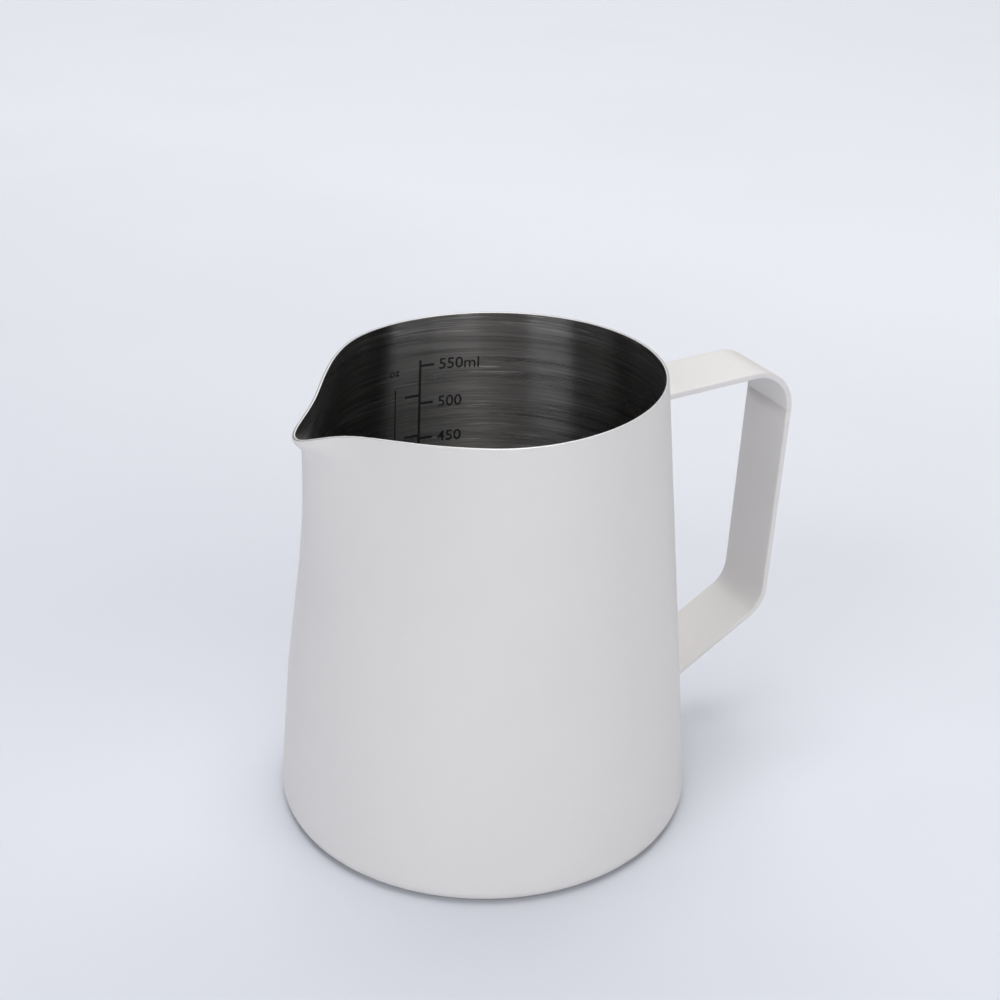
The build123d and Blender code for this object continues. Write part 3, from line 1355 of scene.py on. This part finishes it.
@dataclass
class Studio:
    """The floor, the lamps and the camera."""

    floor_radius: float = 3.0
    floor_rings: int = 39
    floor_sides: int = 96
    surroundings: tuple[float, float, float] = (0.68, 0.68, 0.70)
    ambient: float = 0.06
    backdrop: float = 1.2
    camera_place: tuple[float, float, float] = (-0.1338, -0.2841, 0.2295)
    camera_heading: float = 25.82
    camera_fall: float = 26.25
    camera_roll: float = 0.74
    lens: float = 55.93
    sensor_width: float = 36.0
    nearest: float = 0.01
    lamps: tuple[SoftBox, ...] = (
        SoftBox("overhead_back", (0.9, 2.0, 2.3), (0.5, 1.1, 0.0), 4.0, 3.0, 57.0),
        SoftBox("overhead", (0.0, 0.0, 3.0), (0.0, 0.0, 0.0), 1.8, 1.8, 32.0),
        SoftBox("left_wing", (-1.568, 0.319, 0.95), PANEL_AIM, 0.95, 1.2, 1.5),
        SoftBox("left_panel", (-1.494, -0.573, 0.95), PANEL_AIM, 0.92, 1.2, 8.5, COOL),
        SoftBox("middle_panel", (-0.974, -1.269, 0.95), PANEL_AIM, 0.89, 1.2, 2.8, WARM),
        SoftBox("right_panel", (-0.098, -1.597, 0.95), PANEL_AIM, 1.07, 1.2, 7.3),
        SoftBox("right_wing", (0.824, -1.371, 0.95), PANEL_AIM, 0.92, 1.2, 5.6),
    )

    def build_floor(self) -> bpy.types.Object:
        """A round paper floor: rings that widen as the square of their number.

        Returns:
            The floor's object.
        """
        rings, sides = self.floor_rings, self.floor_sides
        share = np.linspace(0.0, 1.0, rings + 1)[1:, None] ** 2 * self.floor_radius
        angle = np.linspace(0.0, 2 * math.pi, sides, endpoint=False)[None, :]
        x, y = share * np.cos(angle), share * np.sin(angle)
        points = np.stack([x, y, np.zeros_like(x)], axis=-1).reshape(-1, 3)
        faces = ring_faces(rings, sides)[:, ::-1]
        first = np.arange(sides)
        fan = np.stack([np.full(sides, len(points)), first, (first + 1) % sides], axis=1)
        hub = [[0.0, 0.0, 0.0]]
        mesh = bpy.data.meshes.new("studio_floor")
        mesh.from_pydata(points.tolist() + hub, [], faces.tolist() + fan.tolist())
        mesh.materials.append(StudioFloor().material())
        floor = bpy.data.objects.new("studio_floor", mesh)
        bpy.context.scene.collection.objects.link(floor)
        return floor

    def build_world(self) -> None:
        """An even light from all round: dim on the things in it, pale where it is seen itself."""
        world = bpy.data.worlds.new("studio")
        world.use_nodes = True
        nodes, links = world.node_tree.nodes, world.node_tree.links
        backdrop = nodes["Background"]
        backdrop.inputs["Color"].default_value = (*self.surroundings, 1.0)
        seen = nodes.new("ShaderNodeLightPath")
        strength = nodes.new("ShaderNodeMapRange")
        strength.inputs["To Min"].default_value = self.ambient
        strength.inputs["To Max"].default_value = self.backdrop
        links.new(seen.outputs["Is Camera Ray"], strength.inputs["Value"])
        links.new(strength.outputs["Result"], backdrop.inputs["Strength"])
        bpy.context.scene.world = world

    def build_camera(self) -> bpy.types.Object:
        """The camera, from its place, its heading off +Y, its fall below level and its roll.

        Returns:
            The camera's object, which the scene now looks through.
        """
        heading, fall, roll = (
            math.radians(a) for a in (self.camera_heading, self.camera_fall, self.camera_roll)
        )
        level, down = math.cos(fall), -math.sin(fall)
        ahead = Vector((math.sin(heading) * level, math.cos(heading) * level, down))
        right = Vector((math.cos(heading), -math.sin(heading), 0.0))
        up = right.cross(ahead)
        turned_right = math.cos(roll) * right + math.sin(roll) * up
        turned_up = math.cos(roll) * up - math.sin(roll) * right
        lens = bpy.data.cameras.new("camera")
        lens.lens = self.lens
        lens.sensor_width = self.sensor_width
        lens.clip_start = self.nearest
        camera = bpy.data.objects.new("camera", lens)
        bpy.context.scene.collection.objects.link(camera)
        turn = Matrix((turned_right, turned_up, -ahead)).transposed().to_4x4()
        camera.matrix_world = Matrix.Translation(self.camera_place) @ turn
        bpy.context.scene.camera = camera
        return camera

    def build(self) -> None:
        """Sets up the whole studio."""
        self.build_floor()
        self.build_world()
        self.build_camera()
        for lamp in self.lamps:
            lamp.build()
        scene = bpy.context.scene
        scene.view_settings.view_transform = "Standard"
        scene.view_settings.look = "None"


def main() -> None:
    """Builds the pitcher and its studio in order."""
    logging.basicConfig(level=logging.INFO, format="%(name)s: %(message)s")
    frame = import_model()
    steel = BrushedSteel().material()
    coat = PowderCoat().material()
    mark = EtchedMark().material()
    # The rim's edge gets the brighter steel, a painted highlight.
    pieces = Cup().build(steel, HighlightRimEdge().material(), coat)
    pieces.append(Handle().build(coat))
    pieces += VolumeScale().build(mark)
    for name in ("handle_strip", "upper_weld", "lower_weld"):
        node = frame["nodes"][name]
        node.data.materials.clear()
        node.data.materials.append(steel)
        LOG.info("%s: dressed as bare steel under the coat", name)
    for piece in pieces:
        LOG.info("%s: %d faces", piece.name, len(piece.data.polygons))
    Studio().build()


if __name__ == "__main__":
    main()
